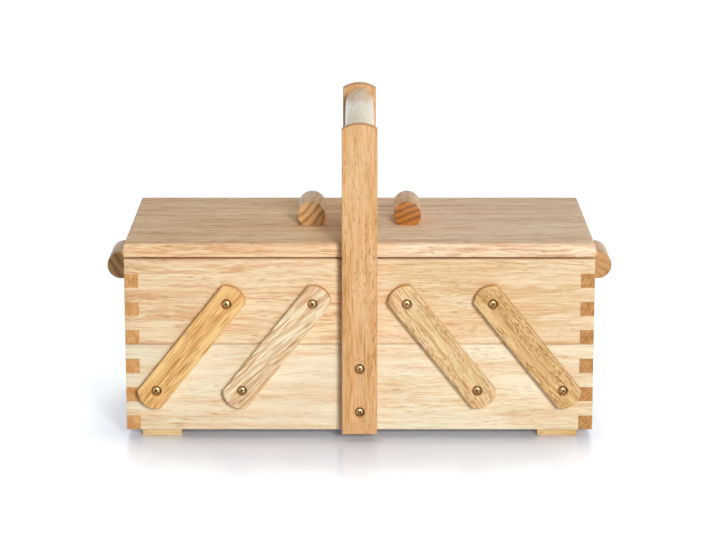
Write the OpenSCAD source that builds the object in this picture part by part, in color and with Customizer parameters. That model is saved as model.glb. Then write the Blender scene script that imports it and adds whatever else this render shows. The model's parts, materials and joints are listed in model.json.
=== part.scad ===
/* [Carcass] */
// Width of the closed box over its end walls
box_w = 400; // [340:5:480]
// Depth over the front and rear walls
box_d = 200; // [170:5:260]
// Height of the lower box
box_h = 75.5; // [62:0.5:100]
// Height of each of the two upper trays
tray_h = 74; // [60:1:100]
// Thickness of the solid wood walls
wall_t = 12; // [10:0.5:15]
// Fingers and notches in each corner joint, counted down the corner
finger_count = 6; // [4:2:10]
// Seam between the lower box and a tray standing on it
seam_gap = 0.4; // [0.3:0.1:1]
// Gap between the two trays, and between the two lids
tray_gap = 1.5; // [1:0.5:4]

/* [Bottoms and dividers] */
// Thickness of the plywood bottoms
panel_t = 4; // [3:0.5:5]
// Depth of the groove that holds a bottom
groove_depth = 5; // [3:0.5:6]
// Height of a bottom above the lower edge of its walls
panel_rise = 5; // [4:0.5:8]
// Room left round a bottom in its groove for the wood to swell
panel_room = 0.5; // [0.2:0.1:1]
// Thickness of the divider across a tray
divider_t = 5; // [3:0.5:6]
// Depth of the slots that hold a divider
slot_depth = 3; // [2:0.5:3.5]
// Drop of a divider below the rim of its tray
divider_drop = 10; // [4:1:25]

/* [Feet] */
// Height of the lower box above the surface it stands on
foot_h = 6.5; // [4:0.5:15]
// Side of a square foot block
foot_side = 34; // [20:1:45]
// Distance from the end of the box to a foot
foot_end_inset = 13; // [2:1:25]
// Distance from the front or rear of the box to a foot
foot_side_inset = 4; // [1:1:8]

/* [Lids] */
// Thickness of a lid
lid_t = 12; // [10:0.5:15]
// Radius of the rounded upper edges of a lid
lid_edge_r = 2; // [1:0.5:4]
// Diameter of the felt pads under the free end of a lid
pad_d = 8; // [5:0.5:9]
// Distance from the front or rear of the box to the middle of a pad
pad_inset = 24; // [18:1:60]

/* [Lid hinges] */
// Length of a hinge along its pin
hinge_l = 30; // [24:1:40]
// Distance from the front or rear of the box to the middle of a hinge
hinge_inset = 38; // [34:1:45]
// Width of a hinge leaf on the rim
leaf_w = 9; // [7:0.5:9.5]
// Thickness of a hinge leaf
leaf_t = 0.9; // [0.6:0.1:1.2]
// Gap between the two leaves of a closed hinge
leaf_gap = 0.2; // [0.1:0.05:0.4]
// Outer diameter of the knuckles
knuckle_d = 3.6; // [3.2:0.1:4.2]
// Diameter of the hinge pin
hinge_pin_d = 1.6; // [1.2:0.1:1.8]
// Gap between a knuckle and its neighbour or the wood beside it
knuckle_gap = 0.3; // [0.2:0.05:0.4]
// Shank diameter of the hinge screws
leaf_screw_d = 2; // [1.6:0.1:2.2]
// Head diameter of the hinge screws
leaf_head_d = 3.6; // [3:0.1:4]
// Length of hinge screw held in the wood
leaf_bite = 7; // [5:0.5:8]
// Distance between the two screws of a leaf
leaf_screw_spacing = 20; // [16:1:20]

/* [Swing arms] */
// Width of an arm
arm_w = 25; // [20:1:30]
// Thickness of an arm
arm_t = 8; // [6:0.5:10]
// Radius of the rounded arm end about its pivot
arm_end_r = 16; // [15.5:0.5:20]
// Sideways reach of an arm from pivot to pivot when the box is closed
arm_lean = 60.5; // [50:0.5:64]
// Distance from the middle of the box to the inner tray pivot
inner_pivot_x = 40; // [38:0.5:46]
// Distance from the end of the box to the outer box pivot
outer_pivot_inset = 26.5; // [20:0.5:34]
// Height of the pivots above the lower edge of the box and of a tray
pivot_rise = 37; // [30:0.5:42]
// Chamfer along the edges of the arms and uprights
eased_edge = 0.8; // [0.4:0.1:1.5]

/* [Handle] */
// Clear height for a hand between the lids and the grip
hand_gap = 76; // [60:1:120]
// Width of an upright
upright_w = 30; // [28:1:36]
// Thickness of an upright
upright_t = 12; // [11:0.5:16]
// Radius of the crowned top of an upright
crown_r = 27; // [22:1:40]
// Wood above the grip at the top of an upright
crown_margin = 3.5; // [2.5:0.5:8]
// Diameter of the grip
grip_d = 25; // [20:1:28]
// Diameter of the round tenons on the grip
tenon_d = 15; // [12:1:18]
// Length of a tenon
tenon_l = 8; // [5:0.5:9]
// Thickness of the spacers between an upright and the box
spacer_t = 3; // [2:0.5:5]
// Diameter of the spacers
spacer_d = 14; // [11:1:20]
// Height of the lower upright screw above the lower edge of the box
upright_screw_rise = 19.5; // [14:0.5:24]
// Drop of the upper upright screw below the rim of the lower box
upright_screw_drop = 18; // [12:0.5:22]

/* [Pulls] */
// Diameter of the dowel that the pulls are cut from
pull_d = 24; // [20:1:28]
// Depth of the flat planed on the dowel
pull_flat = 3; // [2:0.5:5]
// Length of a pull
pull_l = 50; // [42:1:60]
// Chamfer round the ends of a pull
pull_chamfer = 0.6; // [0.3:0.1:1.5]
// Distance from the middle of the box to a lid pull
lid_pull_x = 42; // [30:1:60]
// Distance from the rim of a tray down to the middle of its end pull
end_pull_drop = 22; // [20:1:36]

/* [Screws and washers] */
// Shank diameter of the pivot and upright screws
screw_d = 4; // [3.5:0.5:4.5]
// Head diameter of the pivot and upright screws
head_d = 8; // [7:0.5:8.5]
// Height of the domed heads
head_h = 2.2; // [1.8:0.1:2.6]
// Depth of a head below the face of the wood round it
head_sink = 0.2; // [0.1:0.1:0.6]
// Diameter of the counterbore round a head
bore_d = 9; // [8.8:0.1:10]
// Wood left between the tip of a pivot screw and the inside of the wall
screw_skin = 3.5; // [3.5:0.5:5]
// Radial clearance of a part that turns on a screw or a pin
pivot_clearance = 0.05; // [0.02:0.01:0.1]
// Outer diameter of the washers behind the arms
washer_d = 12; // [10:0.5:14]
// Thickness of the washers behind the arms
washer_t = 1.5; // [1:0.1:2]
// Shank diameter of the pull screws
pull_screw_d = 3.5; // [3:0.5:4]
// Head diameter of the pull screws
pull_head_d = 7; // [6:0.5:8]
// Distance between the two screws of a pull
pull_screw_spacing = 28; // [20:1:32]
// Length of pull screw held in a pull
pull_bite = 12; // [8:1:14]

/* [Hidden] */
$fn = 48;
overcut = 1;
side_play = 0.1;
fixed_play = 0.02;
recess_w = 0.9;
recess_share = 0.6;
recess_depth = 1.2;
dome_share = 0.75;

half_w = box_w / 2;
half_d = box_d / 2;
tray_l = half_w - tray_gap / 2;
box_z = foot_h;
box_top = box_z + box_h;
tray_z = box_top + seam_gap;
tray_top = tray_z + tray_h;

lid_lift = 2 * leaf_t + leaf_gap;
lid_z = tray_top + lid_lift;
lid_top = lid_z + lid_t;
leaf_x = knuckle_gap + knuckle_d / 2;
hinge_x = -half_w - leaf_x;
hinge_z = tray_top + lid_lift / 2;
hinge_y = half_d - hinge_inset;
knuckle_l = hinge_l / 3;

arm_rise = box_h + seam_gap;
arm_l = sqrt(arm_lean * arm_lean + arm_rise * arm_rise);
arm_angle = atan2(arm_rise, arm_lean);
low_pivot_z = box_z + pivot_rise;
high_pivot_z = tray_z + pivot_rise;
outer_low_x = -half_w + outer_pivot_inset;
inner_low_x = -inner_pivot_x - arm_lean;
arm_seat = washer_t + side_play;
bore_depth = head_h + head_sink;
arm_head_seat = arm_seat + arm_t - bore_depth + side_play;
screw_bite = wall_t - screw_skin;

grip_z = lid_top + hand_gap + grip_d / 2;
upright_h = grip_z + grip_d / 2 + crown_margin - box_z;
grip_half = half_d + spacer_t;
upright_head_seat = spacer_t + upright_t - bore_depth;
upright_screw_heights = [box_z + upright_screw_rise, box_top - upright_screw_drop];

pull_axis_h = pull_d / 2 - pull_flat;
end_pull_z = tray_top - end_pull_drop;
countersink_h = (pull_head_d - pull_screw_d) / 2;

PALE_WOOD = "#EBCB98";
END_WOOD = "#D9AE74";
PEACH_WOOD = "#E6B880";
LID_WOOD = "#CDAA84";
ARM_WOOD = "#E3BC82";
PULL_WOOD = "#C9A27C";
PLYWOOD = "#E2CBA2";
BRASS = "#B8924C";
NYLON = "#E6E0D0";
FELT = "#6E5A46";

echo(arm_length = arm_l, swing_degrees = 180 - 2 * arm_angle, over_all_height = box_z + upright_h);

// Placing

module to_rear() {
    mirror([0, 1, 0]) children();
}

module to_right() {
    mirror([1, 0, 0]) children();
}

module front_and_rear() {
    children();
    to_rear() children();
}

// Turns a piece drawn on z = 0 so that it stands on the front wall at x and z
module on_front(x, z) {
    translate([x, -half_d, z]) rotate([90, 0, 0]) children();
}

// Turns a piece drawn on z = 0 so that it stands on the left end wall of a tray
module on_left_end(z) {
    translate([-half_w, 0, z]) rotate([0, -90, 0]) children();
}

// Walls with finger joints and a groove for the bottom

// The slices of a corner that belong to the other wall, counted from the top
module finger_slices(first, height, plan) {
    slice = height / finger_count;
    for (i = [first : 2 : finger_count - 1]) {
        above = i == 0 ? overcut : 0;
        below = i == finger_count - 1 ? overcut : 0;
        translate([-overcut, -overcut, height - (i + 1) * slice - below])
            cube([plan[0], plan[1], slice + above + below]);
    }
}

// The space that the bottom of a case fills, from its corner at the lower edge of the walls
module bottom_space(length, room) {
    inset = wall_t - groove_depth + room;
    translate([inset, inset, panel_rise])
        cube([length - 2 * inset, box_d - 2 * inset, panel_t]);
}

module long_wall(length, height) {
    plan = [wall_t + overcut, wall_t + 2 * overcut];
    difference() {
        cube([length, wall_t, height]);
        finger_slices(1, height, plan);
        translate([length, 0, 0]) mirror([1, 0, 0]) finger_slices(1, height, plan);
        bottom_space(length, 0);
    }
}

module end_wall(length, height) {
    plan = [wall_t + 2 * overcut, wall_t + overcut];
    difference() {
        cube([wall_t, box_d, height]);
        finger_slices(0, height, plan);
        translate([0, box_d, 0]) mirror([0, 1, 0]) finger_slices(0, height, plan);
        bottom_space(length, 0);
    }
}

module at_box() {
    translate([-half_w, -half_d, box_z]) children();
}

module at_tray() {
    translate([-half_w, -half_d, tray_z]) children();
}

// Screws, drawn on the z = 0 face of a wall and pointing out of it along +Z

module cross_recess(width, depth) {
    for (turn = [0, 90])
        rotate([0, 0, turn])
            translate([-width / 2, -recess_w / 2, -depth])
                cube([width, recess_w, depth + overcut]);
}

module domed_head() {
    dome_h = head_h * dome_share;
    dome_r = (head_d * head_d / 4 + dome_h * dome_h) / (2 * dome_h);
    difference() {
        intersection() {
            cylinder(d = head_d, h = head_h);
            translate([0, 0, head_h - dome_r]) sphere(r = dome_r, $fn = 96);
        }
        translate([0, 0, head_h]) cross_recess(head_d * recess_share, recess_depth);
    }
}

module wall_screw(seat) {
    translate([0, 0, -screw_bite]) cylinder(d = screw_d, h = screw_bite + seat);
    translate([0, 0, seat]) domed_head();
}

module wall_pilot() {
    translate([0, 0, -screw_bite]) cylinder(d = screw_d + 2 * fixed_play, h = screw_bite + overcut);
}

module ring(outer_d, thickness, play) {
    difference() {
        cylinder(d = outer_d, h = thickness);
        translate([0, 0, -overcut])
            cylinder(d = screw_d + 2 * play, h = thickness + 2 * overcut);
    }
}

module at_box_pivots() {
    for (x = [outer_low_x, inner_low_x]) {
        on_front(x, low_pivot_z) children();
        to_right() on_front(x, low_pivot_z) children();
    }
}

module at_tray_pivots() {
    for (x = [outer_low_x, inner_low_x])
        on_front(x + arm_lean, high_pivot_z) children();
}

module at_upright_screws() {
    for (z = upright_screw_heights)
        on_front(0, z) children();
}

// Lower box

module box_front_wall() {
    color(PALE_WOOD)
        difference() {
            at_box() long_wall(box_w, box_h);
            at_box_pivots() wall_pilot();
            at_upright_screws() wall_pilot();
        }
}

module box_rear_wall() {
    to_rear() box_front_wall();
}

module box_left_wall() {
    color(END_WOOD) at_box() end_wall(box_w, box_h);
}

module box_right_wall() {
    to_right() box_left_wall();
}

module box_bottom() {
    color(PLYWOOD) at_box() bottom_space(box_w, panel_room);
}

module feet() {
    color(PALE_WOOD)
        for (x = [0, 1], y = [0, 1])
            mirror([x, 0, 0]) mirror([0, y, 0])
                translate([-half_w + foot_end_inset, -half_d + foot_side_inset, 0])
                    cube([foot_side, foot_side, foot_h]);
}

module box_pivot_screws() {
    color(BRASS) front_and_rear() at_box_pivots() wall_screw(arm_head_seat);
}

module box_pivot_washers() {
    color(NYLON) front_and_rear() at_box_pivots() ring(washer_d, washer_t, fixed_play);
}

// Flat bars with eased edges, lying along X on z = 0

module eased_band(length, width, thickness) {
    half = width / 2;
    rotate([90, 0, 90])
        linear_extrude(height = length)
            polygon([
                [-half + eased_edge, 0], [half - eased_edge, 0],
                [half, eased_edge], [half, thickness - eased_edge],
                [half - eased_edge, thickness], [-half + eased_edge, thickness],
                [-half, thickness - eased_edge], [-half, eased_edge]
            ]);
}

module eased_disc(radius, thickness, edge) {
    rotate_extrude()
        polygon([
            [0, 0], [radius - edge, 0], [radius, edge],
            [radius, thickness - edge], [radius - edge, thickness], [0, thickness]
        ]);
}

// Swing arms

module arm_bar() {
    intersection() {
        translate([-arm_end_r, 0, 0]) eased_band(arm_l + 2 * arm_end_r, arm_w, arm_t);
        union() {
            eased_disc(arm_end_r, arm_t, eased_edge);
            translate([arm_l, 0, 0]) eased_disc(arm_end_r, arm_t, eased_edge);
            translate([0, -arm_w, 0]) cube([arm_l, 2 * arm_w, arm_t]);
        }
    }
}

module arm() {
    color(ARM_WOOD)
        translate([0, 0, arm_seat]) rotate([0, 0, arm_angle])
            difference() {
                arm_bar();
                for (x = [0, arm_l]) {
                    translate([x, 0, -overcut])
                        cylinder(d = screw_d + 2 * pivot_clearance, h = arm_t + 2 * overcut);
                    translate([x, 0, arm_t - bore_depth])
                        cylinder(d = bore_d, h = bore_depth + overcut);
                }
            }
}

module left_inner_arm_front() {
    on_front(inner_low_x, low_pivot_z) arm();
}

module left_outer_arm_front() {
    on_front(outer_low_x, low_pivot_z) arm();
}

// Handle

module upright_front() {
    color(PEACH_WOOD)
        difference() {
            translate([0, -half_d - spacer_t, box_z]) rotate([90, -90, 0])
                intersection() {
                    eased_band(upright_h, upright_w, upright_t);
                    union() {
                        translate([upright_h - crown_r, 0, 0])
                            eased_disc(crown_r, upright_t, eased_edge);
                        translate([0, -upright_w, 0])
                            cube([upright_h - crown_r, 2 * upright_w, upright_t]);
                    }
                }
            at_upright_screws() {
                cylinder(d = screw_d + 2 * fixed_play, h = spacer_t + upright_t + overcut);
                translate([0, 0, upright_head_seat])
                    cylinder(d = bore_d, h = bore_depth + overcut);
            }
            on_front(0, grip_z) cylinder(d = tenon_d + 2 * fixed_play, h = spacer_t + tenon_l);
        }
}

module upright_rear() {
    to_rear() upright_front();
}

module upright_spacers() {
    color(PALE_WOOD) front_and_rear() at_upright_screws() ring(spacer_d, spacer_t, fixed_play);
}

module upright_screws() {
    color(BRASS) front_and_rear() at_upright_screws() wall_screw(upright_head_seat);
}

module grip() {
    color(PALE_WOOD)
        translate([0, 0, grip_z]) rotate([90, 0, 0]) {
            cylinder(d = grip_d, h = 2 * grip_half, center = true);
            cylinder(d = tenon_d, h = 2 * (grip_half + tenon_l - side_play), center = true);
        }
}

// Pulls, drawn with their flat on z = 0 and their length along Y

module pull_screws(board) {
    for (y = [-1, 1])
        translate([0, y * pull_screw_spacing / 2, -board])
            difference() {
                union() {
                    cylinder(d1 = pull_head_d, d2 = pull_screw_d, h = countersink_h);
                    cylinder(d = pull_screw_d, h = board + pull_bite);
                }
                mirror([0, 0, 1]) cross_recess(pull_head_d * recess_share, recess_depth);
            }
}

module pull_screw_holes(board) {
    for (y = [-1, 1])
        translate([0, y * pull_screw_spacing / 2, -board]) {
            cylinder(d1 = pull_head_d + 2 * fixed_play, d2 = pull_screw_d + 2 * fixed_play,
                h = countersink_h);
            translate([0, 0, -overcut]) cylinder(d = pull_head_d + 2 * fixed_play, h = overcut);
            cylinder(d = pull_screw_d + 2 * fixed_play, h = board + pull_bite);
        }
}

module pull(board) {
    color(PULL_WOOD)
        difference() {
            intersection() {
                translate([0, pull_l / 2, pull_axis_h]) rotate([90, 0, 0])
                    eased_disc(pull_d / 2, pull_l, pull_chamfer);
                translate([-pull_d, -pull_l, 0]) cube([2 * pull_d, 2 * pull_l, pull_d]);
            }
            pull_screw_holes(board);
        }
}

// Left tray

module left_tray_front_wall() {
    slot_w = divider_t + 2 * side_play;
    color(PALE_WOOD)
        difference() {
            at_tray() long_wall(tray_l, tray_h);
            at_tray_pivots() wall_pilot();
            at_tray()
                translate([(tray_l - slot_w) / 2, wall_t - slot_depth, panel_rise + panel_t])
                    cube([slot_w, slot_depth + overcut, tray_h]);
        }
}

module left_tray_outer_wall() {
    color(END_WOOD)
        difference() {
            at_tray() end_wall(tray_l, tray_h);
            on_left_end(end_pull_z) pull_screw_holes(wall_t);
            at_rim_leaf_screws() leaf_pilot();
        }
}

module left_tray_inner_wall() {
    color(END_WOOD)
        translate([-half_w + tray_l, -half_d, tray_z]) mirror([1, 0, 0]) end_wall(tray_l, tray_h);
}

module left_tray_bottom() {
    color(PLYWOOD) at_tray() bottom_space(tray_l, panel_room);
}

module left_tray_divider() {
    length = box_d - 2 * (wall_t - slot_depth + side_play);
    height = tray_h - panel_rise - panel_t - divider_drop;
    color(PLYWOOD)
        at_tray()
            translate([(tray_l - divider_t) / 2, (box_d - length) / 2, panel_rise + panel_t])
                cube([divider_t, length, height]);
}

module left_end_pull() {
    on_left_end(end_pull_z) pull(wall_t);
}

module left_end_pull_screws() {
    color(BRASS) on_left_end(end_pull_z) pull_screws(wall_t);
}

module left_pivot_screws() {
    color(BRASS) front_and_rear() at_tray_pivots() wall_screw(arm_head_seat);
}

module left_pivot_washers() {
    color(NYLON) front_and_rear() at_tray_pivots() ring(washer_d, washer_t, fixed_play);
}

// Lid hinges: two butt hinges with their leaves between rim and lid

module at_hinges() {
    front_and_rear() translate([hinge_x, -hinge_y, 0]) children();
}

module along_pin(from, diameter, length) {
    translate([0, from, hinge_z]) rotate([-90, 0, 0]) cylinder(d = diameter, h = length);
}

module leaf_plate(z) {
    translate([leaf_x, -hinge_l / 2, z]) cube([leaf_w, hinge_l, leaf_t]);
}

// A knuckle and the tab that joins it to its leaf
module knuckle(from, length, z, play) {
    difference() {
        union() {
            along_pin(from, knuckle_d, length);
            translate([0, from, z]) cube([leaf_x + overcut, length, leaf_t]);
        }
        along_pin(from - overcut, hinge_pin_d + 2 * play, length + 2 * overcut);
    }
}

module leaf_screws_along() {
    for (y = [-1, 1])
        translate([leaf_x + leaf_w / 2, y * leaf_screw_spacing / 2, 0]) children();
}

module at_rim_leaf_screws() {
    at_hinges() leaf_screws_along() translate([0, 0, tray_top + leaf_t]) mirror([0, 0, 1]) children();
}

module at_lid_leaf_screws() {
    at_hinges() leaf_screws_along() translate([0, 0, lid_z - leaf_t]) children();
}

// A small countersunk screw whose head is flush with the leaf it holds
module leaf_screw() {
    difference() {
        union() {
            cylinder(d1 = leaf_head_d, d2 = leaf_screw_d, h = leaf_t);
            cylinder(d = leaf_screw_d, h = leaf_t + leaf_bite);
        }
        mirror([0, 0, 1]) cross_recess(leaf_head_d * recess_share, leaf_t / 2);
    }
}

module leaf_pilot() {
    cylinder(d = leaf_screw_d + 2 * fixed_play, h = leaf_t + leaf_bite);
}

module leaf_countersink() {
    play = 2 * fixed_play;
    cylinder(d1 = leaf_head_d + play, d2 = leaf_screw_d + play, h = leaf_t);
    translate([0, 0, -overcut]) cylinder(d = leaf_head_d + play, h = overcut);
    cylinder(d = leaf_screw_d + play, h = leaf_t + overcut);
}

module left_rim_leaves() {
    color(BRASS)
        difference() {
            at_hinges() {
                leaf_plate(tray_top);
                for (from = [-hinge_l / 2, knuckle_l / 2])
                    knuckle(from, knuckle_l, tray_top, fixed_play);
            }
            at_rim_leaf_screws() leaf_countersink();
        }
}

module left_rim_leaf_screws() {
    color(BRASS) at_rim_leaf_screws() leaf_screw();
}

module left_hinge_pins() {
    color(BRASS)
        at_hinges() along_pin(-hinge_l / 2, hinge_pin_d, hinge_l);
}

module left_lid_leaves() {
    from = -knuckle_l / 2 + knuckle_gap;
    length = knuckle_l - 2 * knuckle_gap;
    color(BRASS)
        difference() {
            at_hinges() {
                leaf_plate(lid_z - leaf_t);
                knuckle(from, length, lid_z - leaf_t, pivot_clearance);
            }
            at_lid_leaf_screws() leaf_countersink();
        }
}

module left_lid_leaf_screws() {
    color(BRASS) at_lid_leaf_screws() leaf_screw();
}

module left_lid_pads() {
    color(FELT)
        front_and_rear()
            translate([-(tray_gap + wall_t) / 2, -half_d + pad_inset, tray_top])
                cylinder(d = pad_d, h = lid_lift - side_play);
}

// Left lid

// A board profile with its two upper edges rounded
module rounded_profile(width, height, radius) {
    square([width, height - radius]);
    translate([radius, 0]) square([width - 2 * radius, height]);
    for (x = [radius, width - radius])
        translate([x, height - radius]) circle(r = radius);
}

module left_lid() {
    color(LID_WOOD)
        difference() {
            translate([-half_w, -half_d, lid_z])
                intersection() {
                    translate([0, box_d, 0]) rotate([90, 0, 0])
                        linear_extrude(height = box_d) rounded_profile(tray_l, lid_t, lid_edge_r);
                    rotate([90, 0, 90])
                        linear_extrude(height = tray_l) rounded_profile(box_d, lid_t, lid_edge_r);
                }
            translate([-lid_pull_x, 0, lid_top]) pull_screw_holes(lid_t);
            at_lid_leaf_screws() leaf_pilot();
        }
}

module left_lid_pull() {
    translate([-lid_pull_x, 0, lid_top]) pull(lid_t);
}

module left_lid_pull_screws() {
    color(BRASS) translate([-lid_pull_x, 0, lid_top]) pull_screws(lid_t);
}

box_front_wall();
box_rear_wall();
box_left_wall();
box_right_wall();
box_bottom();
feet();
upright_front();
upright_rear();
upright_spacers();
upright_screws();
grip();
box_pivot_screws();
box_pivot_washers();

left_tray_front_wall();
to_rear() left_tray_front_wall();  // left_tray_rear_wall
left_tray_outer_wall();
left_tray_inner_wall();
left_tray_bottom();
left_tray_divider();
left_end_pull();
left_end_pull_screws();
left_pivot_screws();
left_pivot_washers();
left_rim_leaves();
left_rim_leaf_screws();
left_hinge_pins();
left_lid_pads();
left_lid();
left_lid_pull();
left_lid_pull_screws();
left_lid_leaves();
left_lid_leaf_screws();
left_inner_arm_front();
to_rear() left_inner_arm_front();  // left_inner_arm_rear
left_outer_arm_front();
to_rear() left_outer_arm_front();  // left_outer_arm_rear

to_right() left_tray_front_wall();  // right_tray_front_wall
to_right() to_rear() left_tray_front_wall();  // right_tray_rear_wall
to_right() left_tray_outer_wall();  // right_tray_outer_wall
to_right() left_tray_inner_wall();  // right_tray_inner_wall
to_right() left_tray_bottom();  // right_tray_bottom
to_right() left_tray_divider();  // right_tray_divider
to_right() left_end_pull();  // right_end_pull
to_right() left_end_pull_screws();  // right_end_pull_screws
to_right() left_pivot_screws();  // right_pivot_screws
to_right() left_pivot_washers();  // right_pivot_washers
to_right() left_rim_leaves();  // right_rim_leaves
to_right() left_rim_leaf_screws();  // right_rim_leaf_screws
to_right() left_hinge_pins();  // right_hinge_pins
to_right() left_lid_pads();  // right_lid_pads
to_right() left_lid();  // right_lid
to_right() left_lid_pull();  // right_lid_pull
to_right() left_lid_pull_screws();  // right_lid_pull_screws
to_right() left_lid_leaves();  // right_lid_leaves
to_right() left_lid_leaf_screws();  // right_lid_leaf_screws
to_right() left_inner_arm_front();  // right_inner_arm_front
to_right() to_rear() left_inner_arm_front();  // right_inner_arm_rear
to_right() left_outer_arm_front();  // right_outer_arm_front
to_right() to_rear() left_outer_arm_front();  // right_outer_arm_rear
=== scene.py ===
"""The looks of a wooden sewing carrier with two lids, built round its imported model.

The file is laid out as an add-on and runs as a script. Every board keeps the place and the
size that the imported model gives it, and here it gets its eased edges, its grain and its lacquer.
All lengths are in metres, X is the width, the front faces -Y and Z is up.
"""
import json
import math
from functools import partial

import bmesh
import bpy
from bpy.props import FloatProperty, FloatVectorProperty, PointerProperty
from bpy.types import Operator, Panel, PropertyGroup
from mathutils import Matrix, Vector

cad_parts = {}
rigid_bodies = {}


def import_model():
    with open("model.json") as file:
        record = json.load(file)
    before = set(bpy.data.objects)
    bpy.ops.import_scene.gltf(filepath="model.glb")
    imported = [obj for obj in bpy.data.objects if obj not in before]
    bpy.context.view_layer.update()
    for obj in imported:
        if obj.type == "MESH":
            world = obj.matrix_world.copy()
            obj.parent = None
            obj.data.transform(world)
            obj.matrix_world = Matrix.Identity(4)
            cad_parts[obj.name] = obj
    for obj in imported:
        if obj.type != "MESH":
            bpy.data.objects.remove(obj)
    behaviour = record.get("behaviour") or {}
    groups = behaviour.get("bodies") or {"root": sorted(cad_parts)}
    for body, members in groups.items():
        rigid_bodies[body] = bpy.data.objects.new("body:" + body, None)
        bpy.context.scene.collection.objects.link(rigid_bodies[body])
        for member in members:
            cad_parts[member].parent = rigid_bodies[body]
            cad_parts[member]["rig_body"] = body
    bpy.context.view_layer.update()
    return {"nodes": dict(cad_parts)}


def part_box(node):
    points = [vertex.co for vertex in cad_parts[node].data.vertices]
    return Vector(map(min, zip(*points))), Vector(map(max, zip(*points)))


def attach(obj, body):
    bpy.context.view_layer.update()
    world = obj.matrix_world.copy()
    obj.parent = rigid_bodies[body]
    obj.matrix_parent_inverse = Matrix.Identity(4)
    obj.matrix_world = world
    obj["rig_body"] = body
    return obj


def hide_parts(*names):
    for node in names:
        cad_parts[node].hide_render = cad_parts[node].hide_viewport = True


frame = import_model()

bl_info = {
    "name": "Sewing carrier with two lids",
    "version": (1, 0, 0),
    "blender": (4, 5, 0),
    "location": "View3D > Sidebar > Carrier",
    "description": "Finishes the boards, arms, handle and fittings of a wooden sewing carrier",
    "category": "Object",
}

MM = 0.001
# Points closer than this are one: after a cut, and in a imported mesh, which is less exact
WELD = 0.001 * MM
PACKED_WELD = 0.005 * MM
SIDES = ("left", "right")
ENDS = ("front", "rear")
HALF_DEPTH = -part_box("box_front_wall")[0].y
QUARTER_TURN = math.pi / 2
# What stands a flat piece up to face the front, and what turns that to face the rear
STAND_UP = Matrix.Rotation(QUARTER_TURN, 4, "X")
TURN_ROUND = Matrix.Rotation(math.pi, 4, "Z")


def linear(hex_colour):
    """Turn an sRGB hex colour into the linear red, green and blue that a shader reads."""
    shares = [int(hex_colour[i : i + 2], 16) / 255 for i in (1, 3, 5)]
    return tuple(s / 12.92 if s <= 0.04045 else ((s + 0.055) / 1.055) ** 2.4 for s in shares)


def size(name, description, mm):
    """A length that a user may change, given in millimetres."""
    return FloatProperty(
        name=name, description=description, default=mm * MM, min=0.0, unit="LENGTH", precision=4
    )


def tone(name, description, hex_colour):
    """A colour that a user may change, given as sRGB hex."""
    return FloatVectorProperty(
        name=name, description=description, default=linear(hex_colour),
        size=3, min=0.0, max=1.0, subtype="COLOR",
    )


def pale_tone(pieces, hex_colour):
    """The tone of the clear wood of some pieces."""
    return tone(f"{pieces}, pale", f"Clear wood of the {pieces.lower()}", hex_colour)


def warm_tone(pieces, hex_colour):
    """The tone of the tan lines in some pieces."""
    return tone(f"{pieces}, warm", f"Tan lines in the {pieces.lower()}", hex_colour)


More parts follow.
